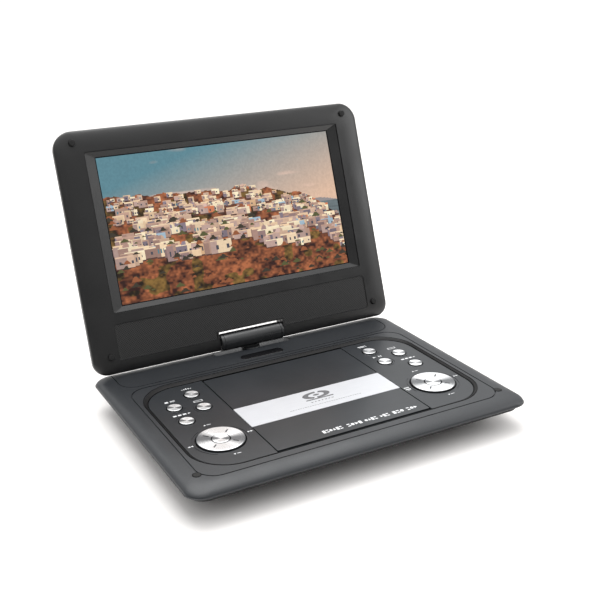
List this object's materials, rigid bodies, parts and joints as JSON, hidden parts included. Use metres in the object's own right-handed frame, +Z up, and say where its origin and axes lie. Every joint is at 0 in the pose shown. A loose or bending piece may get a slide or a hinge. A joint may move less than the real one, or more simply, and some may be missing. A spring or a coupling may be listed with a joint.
{
  "type": "portable dvd player",
  "caption": "Clamshell portable disc player: flat base with a disc door, dials and buttons, and a wide screen on a swivel and tilt hinge.",
  "frame": {"origin": "on the floor, under the middle of the whole player with its screen open at rest", "axes": "+X along the width to the player's right, +Y from the front edge to the back, +Z up"},
  "size_m": [0.282, 0.2688, 0.2165],
  "materials": {
    "satin_black": "satin, faint metallic fleck",
    "dark_shell": "fine texture",
    "gloss_panel": "high gloss, dark blue grey",
    "silver_strip": "brushed bright silver",
    "silver_key": "radially brushed silver",
    "rubber": "matte",
    "hinge_black": "semi-gloss",
    "steel": "ground",
    "motor_case": "drawn can",
    "zinc_plate": "zinc plated",
    "mechanism_plastic": "moulded",
    "lens": "coated lens",
    "circuit_board": "solder mask",
    "battery_wrap": "shrink wrapped cells, plain",
    "speaker_cone": "pressed paper and steel basket",
    "grille": "fine perforated mesh, dark",
    "display_glass": "lit screen behind a clear gloss sheet"
  },
  "bodies": {
    "base": {"bottom_shell": "dark_shell", "top_cover": "satin_black", "rear_cover": "satin_black", "badge": "gloss_panel", "control_panel_left": "gloss_panel", "control_panel_right": "gloss_panel", "disc_deck": "mechanism_plastic", "mechanism_chassis": "zinc_plate", "spindle_motor": "motor_case", "guide_rod_front": "steel", "guide_rod_back": "steel", "sled_motor": "motor_case", "main_board": "circuit_board", "battery_pack": "battery_wrap", "dc_jack": "mechanism_plastic", "headphone_jack": "mechanism_plastic", "video_jack": "mechanism_plastic", "base_bumper_left": "rubber", "base_bumper_right": "rubber", "foot_front_left": "rubber", "foot_front_right": "rubber", "foot_back_left": "rubber", "foot_back_right": "rubber"},
    "disc_door": {"disc_door": "gloss_panel", "door_strip": "silver_strip", "door_hinge_rod": "steel"},
    "swivel": {"swivel_post": "hinge_black", "hinge_barrel": "hinge_black"},
    "screen": {"screen_back_shell": "satin_black", "screen_bezel": "satin_black", "display_panel": "display_glass", "display_board": "circuit_board", "speaker_grille": "grille", "speaker_left": "speaker_cone", "speaker_right": "speaker_cone", "screen_bumper_bottom_left": "rubber", "screen_bumper_top_left": "rubber", "screen_bumper_bottom_right": "rubber", "screen_bumper_top_right": "rubber", "tilt_shaft": "steel"},
    "button_left_inner_front": {"button_left_inner_front": "silver_key"},
    "button_left_inner_back": {"button_left_inner_back": "silver_key"},
    "button_left_outer_front": {"button_left_outer_front": "silver_key"},
    "button_left_outer_back": {"button_left_outer_back": "silver_key"},
    "dial_pad_left": {"dial_pad_left": "rubber"},
    "dial_ring_left": {"dial_ring_left": "silver_key"},
    "dial_button_left": {"dial_button_left": "silver_key"},
    "button_right_inner_front": {"button_right_inner_front": "silver_key"},
    "button_right_inner_back": {"button_right_inner_back": "silver_key"},
    "button_right_outer_front": {"button_right_outer_front": "silver_key"},
    "button_right_outer_back": {"button_right_outer_back": "silver_key"},
    "dial_pad_right": {"dial_pad_right": "rubber"},
    "dial_ring_right": {"dial_ring_right": "silver_key"},
    "dial_button_right": {"dial_button_right": "silver_key"},
    "spindle_hub": {"spindle_hub": "mechanism_plastic"},
    "laser_sled": {"laser_sled": "mechanism_plastic", "pickup_lens": "lens"},
    "lead_screw": {"lead_screw": "steel"},
    "power_switch": {"power_switch": "mechanism_plastic"}
  },
  "joints": [
    {"name": "screen_swivel", "type": "hinge", "parent": "base", "child": "swivel", "pos_m": [0, 0.06585, 0.0342], "axis": [0, 0, 1], "range_deg": [-180, 0]},
    {"name": "screen_tilt", "type": "hinge", "parent": "swivel", "child": "screen", "pos_m": [0, 0.06585, 0.0342], "axis": [-1, 0, 0], "range_deg": [-109.2, 70.8]},
    {"name": "disc_door_hinge", "type": "hinge", "parent": "base", "child": "disc_door", "pos_m": [0, 0.01945, 0.0226], "axis": [-1, 0, 0], "range_deg": [0, 65]},
    {"name": "button_left_inner_front_press", "type": "slide", "parent": "base", "child": "button_left_inner_front", "axis": [0, 0, -1], "range_m": [0, 0.0007], "stiffness_N_per_m": 500},
    {"name": "button_left_inner_back_press", "type": "slide", "parent": "base", "child": "button_left_inner_back", "axis": [0, 0, -1], "range_m": [0, 0.0007], "stiffness_N_per_m": 500},
    {"name": "button_left_outer_front_press", "type": "slide", "parent": "base", "child": "button_left_outer_front", "axis": [0, 0, -1], "range_m": [0, 0.0007], "stiffness_N_per_m": 500},
    {"name": "button_left_outer_back_press", "type": "slide", "parent": "base", "child": "button_left_outer_back", "axis": [0, 0, -1], "range_m": [0, 0.0007], "stiffness_N_per_m": 500},
    {"name": "dial_left_rock_front_back", "type": "hinge", "parent": "base", "child": "dial_pad_left", "pos_m": [-0.09235, -0.07405, 0.0193], "axis": [1, 0, 0], "range_deg": [-1.2, 1.2], "stiffness_Nm_per_rad": 0.9},
    {"name": "dial_left_rock_side", "type": "hinge", "parent": "dial_pad_left", "child": "dial_ring_left", "pos_m": [-0.09235, -0.07405, 0.0193], "axis": [0, 1, 0], "range_deg": [-1.2, 1.2], "stiffness_Nm_per_rad": 0.9},
    {"name": "dial_button_left_press", "type": "slide", "parent": "base", "child": "dial_button_left", "axis": [0, 0, -1], "range_m": [0, 0.0006], "stiffness_N_per_m": 500},
    {"name": "button_right_inner_front_press", "type": "slide", "parent": "base", "child": "button_right_inner_front", "axis": [0, 0, -1], "range_m": [0, 0.0007], "stiffness_N_per_m": 500},
    {"name": "button_right_inner_back_press", "type": "slide", "parent": "base", "child": "button_right_inner_back", "axis": [0, 0, -1], "range_m": [0, 0.0007], "stiffness_N_per_m": 500},
    {"name": "button_right_outer_front_press", "type": "slide", "parent": "base", "child": "button_right_outer_front", "axis": [0, 0, -1], "range_m": [0, 0.0007], "stiffness_N_per_m": 500},
    {"name": "button_right_outer_back_press", "type": "slide", "parent": "base", "child": "button_right_outer_back", "axis": [0, 0, -1], "range_m": [0, 0.0007], "stiffness_N_per_m": 500},
    {"name": "dial_right_rock_front_back", "type": "hinge", "parent": "base", "child": "dial_pad_right", "pos_m": [0.09235, -0.07405, 0.0193], "axis": [1, 0, 0], "range_deg": [-1.2, 1.2], "stiffness_Nm_per_rad": 0.9},
    {"name": "dial_right_rock_side", "type": "hinge", "parent": "dial_pad_right", "child": "dial_ring_right", "pos_m": [0.09235, -0.07405, 0.0193], "axis": [0, 1, 0], "range_deg": [-1.2, 1.2], "stiffness_Nm_per_rad": 0.9},
    {"name": "dial_button_right_press", "type": "slide", "parent": "base", "child": "dial_button_right", "axis": [0, 0, -1], "range_m": [0, 0.0006], "stiffness_N_per_m": 500},
    {"name": "spindle_spin", "type": "hinge", "parent": "base", "child": "spindle_hub", "pos_m": [0, -0.04346, 0.017], "axis": [0, 0, 1], "continuous": true},
    {"name": "sled_travel", "type": "slide", "parent": "base", "child": "laser_sled", "axis": [-1, 0, 0], "range_m": [0, 0.034]},
    {"name": "lead_screw_spin", "type": "hinge", "parent": "base", "child": "lead_screw", "pos_m": [-0.024, -0.07745, 0.0105], "axis": [1, 0, 0], "range_deg": [-10, 4100]},
    {"name": "power_switch_slide", "type": "slide", "parent": "base", "child": "power_switch", "axis": [0, 1, 0], "range_m": [0, 0.0044]}
  ],
  "couplings": [
    {"joint": "lead_screw_spin", "follows": "sled_travel", "rad_per_m": 2094.4}
  ]
}
